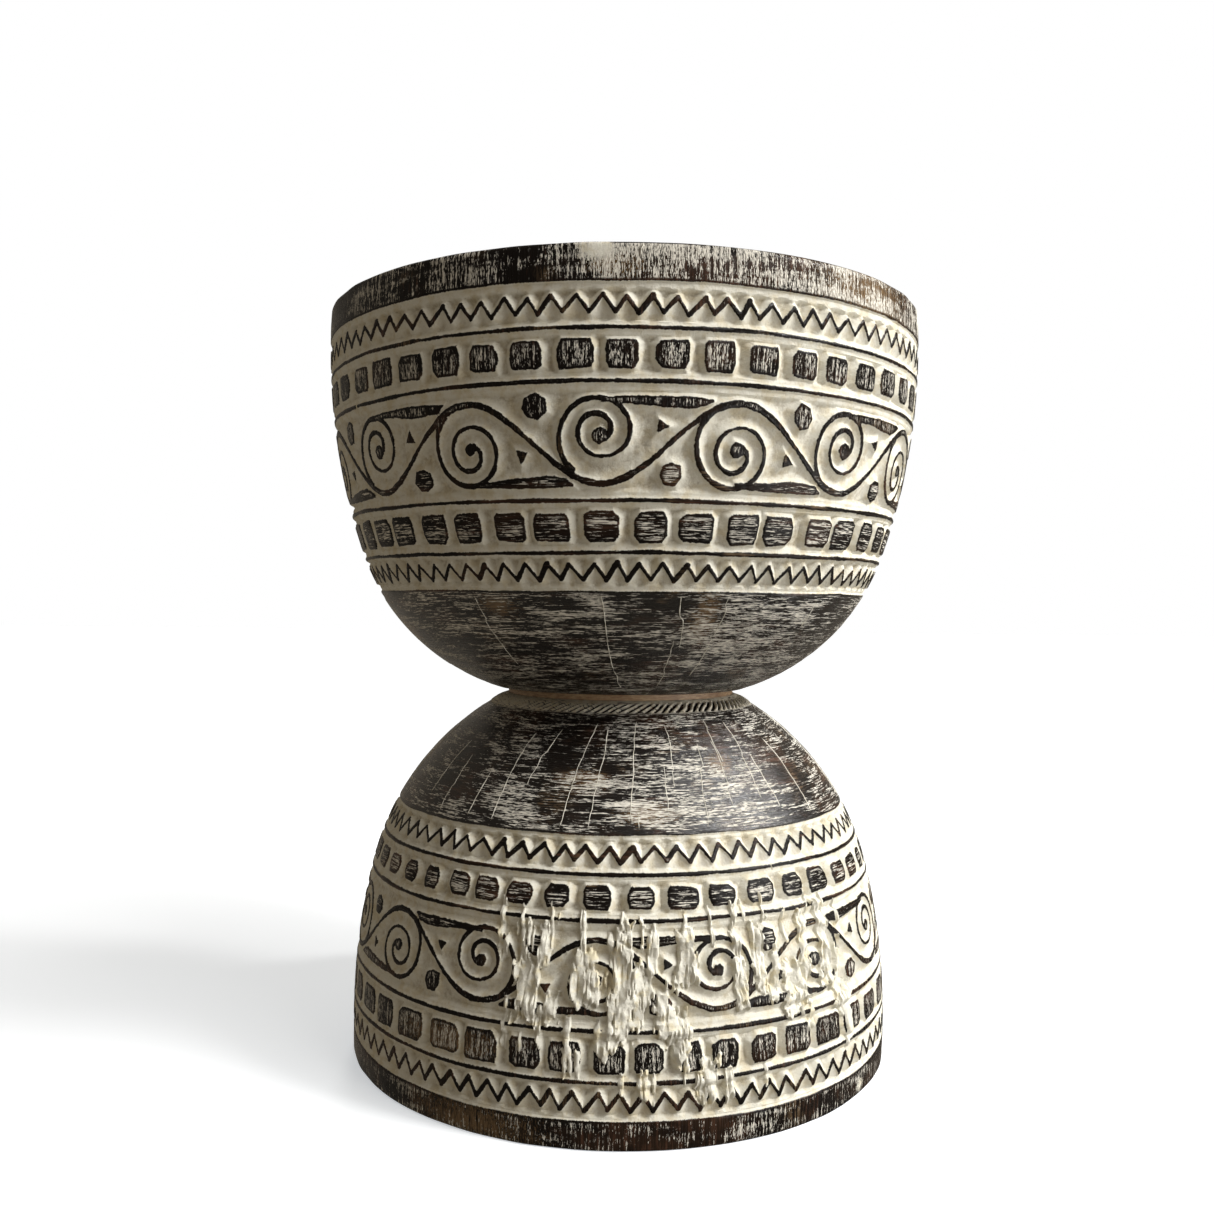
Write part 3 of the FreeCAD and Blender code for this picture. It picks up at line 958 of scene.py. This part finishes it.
def carved_material(name, plan, turn_v, shift, rim_rub, tan_spots, white_spots, wash_spots,
                    dark_spots, rope=None):
    """Dark stain on what stands proud, limewash in what is cut away.

    tan_spots, white_spots, wash_spots and dark_spots list (degrees, v, width,
    height) of patches worn to bare wood, filled with white, rubbed with more
    limewash and left almost without it. rim_rub adds to the rub at the open end.
    The grain turns from upright to crosswise at turn_v.
    """
    rim_v, belly_v = plan["margin_a"], plan["margin_b"]
    n = Nodes(name)
    wrap = n.attribute("wrap", "Vector")
    depth = n.attribute("depth")
    paste = n.attribute("paste")
    solid = n.attribute("solid")
    at = n.vector("ADD", wrap, (shift, shift * 0.7, shift * 1.3))
    v = n.node("ShaderNodeSeparateXYZ", {0: wrap}, 2)

    def spots(places, ragged):
        """1 in each of some patches, 0 away from them."""
        total = 0.0
        for degrees, v0, wide, tall in places:
            away = n.vector("SUBTRACT", wrap, on_wrap(degrees, v0))
            scaled = n.vector("MULTIPLY", away, (2.0 / wide, 2.0 / wide, 2.0 / tall))
            span = n.vector("LENGTH", scaled, (0, 0, 0), "Value")
            total = n.most(total, n.ramp(span + ragged, 1.15, 0.55))
        return total

    border = n.grain(at, 0.08, 0.08, 2.0)
    v_wavy = v + (border - 0.5) * 1.6
    on_belly = n.ramp(v_wavy, belly_v - 0.2, belly_v + 0.4)
    on_rim = 1.0 - n.ramp(v_wavy, rim_v - 0.4, rim_v + 0.2)

    crosswise = n.ramp(v_wavy, turn_v - 4.0, turn_v + 4.0)
    coarse = n.blend(crosswise, n.grain(at, 0.70, 0.050, 5.0, 0.68, 0.25),
                     n.grain(at, 0.022, 0.60, 4.0, 0.62, 0.2))
    fine = n.blend(crosswise, n.grain(at, 1.3, 0.11, 4.0, 0.66, 0.25),
                   n.grain(at, 0.070, 1.55, 3.0, 0.62, 0.15))
    hair = n.blend(crosswise, n.grain(at, 3.0, 0.55, 2.0, 0.60, 0.2),
                   n.grain(at, 0.26, 2.6, 2.0, 0.60, 0.2))
    speck = n.noise(at, 1.7, 3.0, 0.75)
    patch = n.grain(at, 0.030, 0.040, 3.0, 0.60)
    tone = n.grain(at, 0.019, 0.034, 4.0, 0.62, 0.4)
    ragged = (speck - 0.5) * 1.3
    feathered = (fine + hair - 1.0) * 3.8

    # black stain worn through to brown, and to bare tan wood in places
    stain = n.mix(n.ramp(tone, 0.49, 0.63), BLACK, UMBER)
    worn = coarse * 0.6 + tone * 0.4
    stain = n.mix(n.ramp(worn, 0.535, 0.64) * 0.70, stain, RUST)
    bare = n.ramp(patch, 0.56, 0.70) * n.ramp(fine, 0.47, 0.60)
    tan = spots(tan_spots, feathered) * n.ramp(fine, 0.36, 0.52)
    stain = n.mix(n.most(bare * 0.55, tan * 0.85), stain, OCHRE)

    # white rubbed into the grain: patchy on the plain bands, even on the small
    # raised figures, and never quite to the carved edges
    rubbed = n.grain(at, 0.026, 0.13, 4.0, 0.66, 0.2)
    streak = coarse * 0.22 + fine * 0.42 + hair * 0.26 + speck * 0.10
    plain = n.most(on_belly, on_rim)
    streak = streak + (rubbed - 0.5) * (plain * 0.20 + 0.14)
    streak = streak + spots(wash_spots, ragged) * 0.034 - spots(dark_spots, ragged) * 0.050
    streak = streak + on_rim * rim_rub + (1.0 - plain) * 0.010
    rub = n.ramp(streak, 0.528, 0.554) * n.ramp(solid + ragged * 0.9, 0.45, 1.25)
    rub = rub * n.ramp(depth, 0.80, 0.35) * (n.ramp(hair, 0.40, 0.56) * 0.68 + 0.30)
    dark = n.mix(rub, stain, LIME_RUB)

    # limewash: clean on the slopes, warmer and darker where it lies deep, as painted shade in the recesses
    # mixed with dirt
    cloud = n.noise(at, 0.16, 4.0, 0.62)
    lime = n.mix(n.ramp(cloud, 0.42, 0.68), LIME, LIME_WARM)
    # painted shade with dirt: the deepest cuts turn towards the dirt colour, in patches
    deep_shade_and_dirt = n.ramp(depth, 1.5, 3.3) * n.ramp(n.noise(at, 0.5, 3.0, 0.6), 0.30, 0.72)
    lime = n.mix(deep_shade_and_dirt * 0.62, lime, LIME_DIRT_AND_SHADE)
    lime = n.mix(n.ramp(n.noise(at, 0.8, 4.0, 0.72), 0.58, 0.74) * 0.50, lime, LIME_DIRT_AND_SHADE)
    clean_paste = n.mix(n.ramp(cloud, 0.50, 0.66) * 0.8, LIME, PASTE_WARM)

    torn = (n.noise(at, 1.3, 4.0, 0.75) - 0.5) * 1.1
    edge = n.ramp(depth + torn, 0.26, 0.44) * (1.0 - on_belly) * (1.0 - on_rim)
    over = n.ramp(paste, 0.06, 0.20)
    lime = n.mix(over, lime, clean_paste)
    white = n.most(n.most(edge, over), n.ramp(spots(white_spots, feathered), 0.35, 0.65))
    if rope:
        # the rope keeps most of its limewash, with stain left in its nicks
        band = n.ramp(v_wavy, rope[0] - 1.2, rope[0] + 0.6) * (1.0 - n.ramp(depth, 0.15, 0.50))
        band = band * n.ramp(fine + speck * 0.4, 0.52, 0.68)
        white = n.most(white, band * 0.94)
        lime = n.mix(band * 0.45, lime, ROPE_LIME)
    # inside, rim top and neck face lie deeper than any carving
    hidden = n.ramp(depth, 5.0, 5.6)
    white = white * (1.0 - hidden)

    turned = n.grain(at, 0.020, 0.90, 5.0, 0.68, 0.2)
    inside = n.mix(n.ramp(turned, 0.36, 0.66), INSIDE_DARK, INSIDE_LIGHT)
    inside = n.mix(n.ramp(tone, 0.44, 0.62) * 0.55, inside, INSIDE_STAIN)
    inside = n.mix(n.ramp(speck, 0.55, 0.75) * 0.35, inside, LIME_RUB)

    chalk = n.noise(at, 1.1, 5.0, 0.72)
    height = n.blend(white, coarse * 0.4 + fine * 0.6 + rub * 0.45, chalk)
    return n.surface({
        "Base Color": n.mix(white, n.mix(hidden, dark, inside), lime),
        "Roughness": n.blend(white, rub * 0.36 + fine * 0.22 + 0.16, 0.82),
        "Specular IOR Level": on_belly * 0.34 + 0.10,
        "Normal": n.bump(height, 0.75, 0.0007)})


def bare_wood(name, light, dark):
    n = Nodes(name)
    where = n.node("ShaderNodeTexCoord", {}, "Object")
    grain = n.grain(where, 260.0, 1400.0, 5.0, 0.65, 0.3)
    patch = n.grain(where, 45.0, 45.0, 3.0)
    colour = n.mix(n.ramp(grain, 0.32, 0.70), dark, light)
    return n.surface({
        "Base Color": n.mix(n.ramp(patch, 0.52, 0.72) * 0.55, colour, (0.14, 0.060, 0.030, 1)),
        "Roughness": grain * 0.25 + 0.42,
        "Normal": n.bump(grain, 0.5, 0.0004)})


def filler_material(name):
    n = Nodes(name)
    patch = n.grain(n.node("ShaderNodeTexCoord", {}, "Object"), 500.0, 500.0, 3.0, 0.6)
    return n.surface({
        "Base Color": n.mix(n.ramp(patch, 0.3, 0.7), (0.80, 0.77, 0.68, 1), (0.58, 0.54, 0.44, 1)),
        "Roughness": 0.8,
        "Normal": n.bump(patch, 0.4, 0.0003)})


# ---- cracks
FRONT_WIDTH = 0.36      # mm, half the width of a crack that is seen in front
BACK_WIDTH = 0.28


def crack(points, faces, outline, theta0, v0, v1, width, rng, lean):
    """One closed, three-sided sliver of filler that follows a drying crack."""
    steps = max(6, int(abs(v1 - v0) / 2.2))
    t = np.linspace(0, 1, steps)
    v = v0 + (v1 - v0) * t
    walk = np.cumsum(rng.normal(0, 0.22, steps)) + lean * t * 6.0
    jump = rng.integers(2, steps - 1)
    walk[jump:] += rng.normal(0, 0.9)
    r, h, nr, nh = outline.at(v)
    theta = math.radians(theta0) + walk / r
    wide = width * rng.uniform(0.55, 1.25, steps)
    start = len(points)
    for k in range(steps):
        if k in (0, steps - 1):
            points.append(outline.place(theta[k], r[k] - 0.1 * nr[k], h[k] - 0.1 * nh[k]))
            continue
        side = wide[k] / r[k]
        # both edges lie under the surface, and the ridge stands just above it
        for offset, rise in ((-side, -0.25), (0.0, 0.26), (side, -0.25)):
            points.append(outline.place(theta[k] + offset, r[k] + rise * nr[k], h[k] + rise * nh[k]))
    rows = [start + 1 + 3 * k for k in range(steps - 2)]
    for a in range(3):
        b = (a + 1) % 3
        faces.append((start, rows[0] + a, rows[0] + b))
        faces.append((start + 3 * (steps - 2) + 1, rows[-1] + b, rows[-1] + a))
        for low, high in zip(rows[:-1], rows[1:]):
            faces.append((low + a, high + a, high + b))
            faces.append((low + a, high + b, low + b))


def crack_piece(name, outline, seed, front, others, v_low, v_high, material, slot):
    """Filled drying cracks, listed one by one in front and scattered elsewhere."""
    rng = np.random.default_rng(seed)
    points, faces = [], []
    for theta0, v0, v1, lean in front:
        crack(points, faces, outline, theta0, v0, v1, FRONT_WIDTH, rng, lean)
    for k in range(others):
        theta0 = -20.0 + 220.0 * (k + rng.uniform(0.2, 0.8)) / others
        a = rng.uniform(0.0, 0.45)
        b = rng.uniform(max(a + 0.2, 0.5), 1.0)
        crack(points, faces, outline, theta0, v_low + (v_high - v_low) * a,
              v_low + (v_high - v_low) * b, BACK_WIDTH, rng, rng.normal(0, 0.5))
    mesh = build_mesh(name, np.array(points), np.zeros((0, 4), int), np.array(faces))
    shell = bmesh.new()
    shell.from_mesh(mesh)
    bmesh.ops.recalc_face_normals(shell, faces=shell.faces)
    shell.to_mesh(mesh)
    shell.free()
    mesh.polygons.foreach_set("use_smooth", np.ones(len(mesh.polygons), bool))
    new_piece(name, mesh, material, slot)


# ---- pieces
bowl_wood = carved_material(
    "upper_bowl_finish", UPPER_PLAN, turn_v=92.0, shift=3.0, rim_rub=0.010,
    tan_spots=[(-45, 8, 58, 24), (-73, 168, 13, 26), (-117, 163, 22, 12), (-92, 10, 20, 8),
               (30, 9, 40, 12), (95, 170, 30, 14), (150, 6, 30, 12), (200, 180, 26, 16)],
    white_spots=[(-95, 3, 12, 9), (-20, 5, 9, 12), (70, 2, 7, 6), (170, 3, 10, 7)],
    wash_spots=[(-72, 8, 210, 60), (-115, 6, 16, 22), (-62, 180, 120, 60), (60, 8, 120, 60),
                (165, 190, 150, 90)],
    dark_spots=[(-106, 8, 26, 34), (-127, 8, 26, 34), (-152, 8, 44, 34), (120, 8, 90, 40),
                (20, 200, 80, 50)])
foot_rope = (foot.v_neck - 11.5, foot.v_neck - 3.0)
foot_wood = carved_material(
    "foot_bowl_finish", FOOT_PLAN, turn_v=86.0, shift=41.0, rim_rub=-0.024,
    tan_spots=[(-118, 6, 60, 14), (-124, 41, 52, 12), (-62, 176, 20, 12), (-84, 150, 30, 10),
               (-100, 168, 26, 9), (20, 6, 50, 12), (80, 160, 34, 14), (140, 42, 44, 11),
               (190, 172, 30, 14)],
    white_spots=[(-36, 5, 6, 6), (60, 148, 8, 5), (120, 9, 9, 5)],
    wash_spots=[(-78, 160, 74, 44), (-118, 153, 56, 18), (40, 165, 90, 50), (160, 165, 90, 50)],
    dark_spots=[(-106, 188, 56, 36), (-60, 186, 26, 38), (-38, 164, 44, 36), (-138, 170, 50, 40),
                (100, 175, 70, 50), (-170, 160, 50, 40)],
    rope=foot_rope)
collar_wood = bare_wood("collar_finish", (0.47, 0.33, 0.19, 1), (0.25, 0.14, 0.07, 1))
dowel_wood = bare_wood("dowel_finish", (0.55, 0.41, 0.26, 1), (0.36, 0.24, 0.13, 1))
filler = filler_material("crack_filler")

mesh = bowl_mesh("carved_upper_bowl", upper, UPPER_PLAN)
new_piece("carved_upper_bowl", mesh, bowl_wood, "upper_bowl_wood", "upper_bowl")
mesh = bowl_mesh("carved_foot_bowl", foot, FOOT_PLAN, rope=foot_rope, with_paste=True)
new_piece("carved_foot_bowl", mesh, foot_wood, "foot_bowl_wood", "foot_bowl")

# cracks in front: bearing in degrees, from v, to v, lean
UPPER_CRACKS = [
    (-122, 156.5, 205, 0.7), (-94.5, 156, 228, 1.0), (-79, 156, 190, 0.5), (-78.5, 182, 226, -0.4),
    (-69, 156, 182, -0.2), (-70, 178, 214, -0.3), (-45, 158, 176, 0.1), (-57.6, 0.8, 16.4, 0.0),
    (-27.3, 0.8, 16.4, 0.0), (-88, 0.6, 8, 0.05), (-73, 2, 15, 0.05), (-20.5, 0.8, 16.2, 0.0),
]
FOOT_CRACKS = [
    (-146, 150, 186, 0.4), (-138, 142, 178, -0.3), (-128, 143, 172, 0.5), (-121, 142, 196, 0.6),
    (-114.5, 162, 200, 0.6), (-104, 142, 205, 1.2), (-97.5, 142, 168, 0.3), (-96.5, 164, 202, 0.9),
    (-88, 145, 207, 0.8), (-86.5, 142, 152, 0.1), (-79.5, 150, 180, 0.2), (-77, 163, 205, 0.3),
    (-71, 142, 190, 0.8), (-63, 152, 192, 0.3), (-60.5, 176, 208, 0.4), (-54, 154, 205, 0.6),
    (-49, 148, 182, 0.2), (-38, 143, 190, 0.2),
]
crack_piece("upper_bowl_cracks", upper, 31, UPPER_CRACKS, 9, 157.0, 222.0, filler, "upper_bowl_wood")
crack_piece("foot_bowl_cracks", foot, 32, FOOT_CRACKS, 14, 142.0, 207.0, filler, "foot_bowl_wood")

for node, finish in (("neck_collar", collar_wood), ("centre_dowel", dowel_wood)):
    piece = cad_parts[node]
    if not piece.material_slots:
        piece.data.materials.append(finish)
    for holder in piece.material_slots:
        holder.material = finish

# ---- floor and light
scene = bpy.context.scene
FLOOR_HALF = 9.0    # metres
floor_mesh = bpy.data.meshes.new("floor")
floor_mesh.from_pydata([(-FLOOR_HALF, -FLOOR_HALF, 0), (FLOOR_HALF, -FLOOR_HALF, 0),
                        (FLOOR_HALF, FLOOR_HALF, 0), (-FLOOR_HALF, FLOOR_HALF, 0)], [], [(0, 1, 2, 3)])
floor = bpy.data.objects.new("floor", floor_mesh)
scene.collection.objects.link(floor)
floor_mesh.materials.append(Nodes("floor_paper").surface({
    "Base Color": (0.80, 0.80, 0.80, 1),
    "Roughness": 0.9,
    "Specular IOR Level": 0.1,
    "Emission Color": (0.90, 0.95, 1.0, 1),
    "Emission Strength": 0.50}))
floor.visible_diffuse = False
floor.visible_glossy = False


def add_light(name, kind, energy, bearing, rise, distance, shine=True, **settings):
    """A lamp aimed at the object, from a bearing and a height in degrees."""
    data = bpy.data.lights.new(name, kind)
    data.energy = energy
    for key, value in settings.items():
        setattr(data, key, value)
    turn, lift = math.radians(bearing), math.radians(rise)
    towards = Vector((math.cos(lift) * math.cos(turn), math.cos(lift) * math.sin(turn), math.sin(lift)))
    aim = Vector((0, 0, 0.2))
    lamp = bpy.data.objects.new(name, data)
    lamp.matrix_world = (Matrix.Translation(aim + towards * distance)
                         @ towards.to_track_quat("Z", "Y").to_matrix().to_4x4())
    lamp.visible_camera = False
    lamp.visible_glossy = shine
    scene.collection.objects.link(lamp)


add_light("window", "SUN", 1.85, -24.0, 40.0, 2.0, angle=math.radians(48.0))
add_light("key", "SPOT", 204.0, -24.0, 40.0, 2.6, shadow_soft_size=0.36,
          spot_size=math.radians(26.0), spot_blend=0.7)
# low and behind: it lights the back, and grazes the outer edges of the shoulders
add_light("rear", "SUN", 1.7, 97.0, 12.0, 2.0, shine=False, angle=math.radians(14.0))
add_light("bounce", "AREA", 7.6, -28.0, -8.5, 1.1, shape="RECTANGLE", size=0.9, size_y=0.25)
# placed so that the foot's dark shoulder mirrors it towards the camera
add_light("glint", "AREA", 8.5, 6.0, 38.0, 1.5, shape="RECTANGLE", size=0.15, size_y=0.18)

# warm air lights the object, and the camera sees plain white behind it
scene.world = bpy.data.worlds.new("studio")
scene.world.use_nodes = True
tree = scene.world.node_tree
tree.nodes.clear()
output = tree.nodes.new("ShaderNodeOutputWorld")
chosen = tree.nodes.new("ShaderNodeMixShader")
ray = tree.nodes.new("ShaderNodeLightPath")
tree.links.new(ray.outputs["Is Camera Ray"], chosen.inputs[0])
tree.links.new(chosen.outputs[0], output.inputs[0])
for entry, colour, strength in ((1, (1.0, 0.88, 0.72, 1), 0.235), (2, (1, 1, 1, 1), 1.0)):
    back = tree.nodes.new("ShaderNodeBackground")
    back.inputs["Color"].default_value = colour
    back.inputs["Strength"].default_value = strength
    tree.links.new(back.outputs[0], chosen.inputs[entry])
scene.view_settings.view_transform = "Standard"

# ---- camera, where the fit to the carved rings puts it
CAMERA_PLACE = (-0.0082, -0.6434, 0.2446)
lens = bpy.data.cameras.new("camera")
lens.sensor_width = 36.0
lens.lens = 33.14
lens.clip_start = 0.01
camera = bpy.data.objects.new("camera", lens)
scene.collection.objects.link(camera)
camera.matrix_world = (Matrix.Translation(CAMERA_PLACE)
                       @ Matrix.Rotation(math.radians(90.0 - 0.25), 4, "X")
                       @ Matrix.Rotation(math.radians(0.51), 4, "Z"))
scene.camera = camera
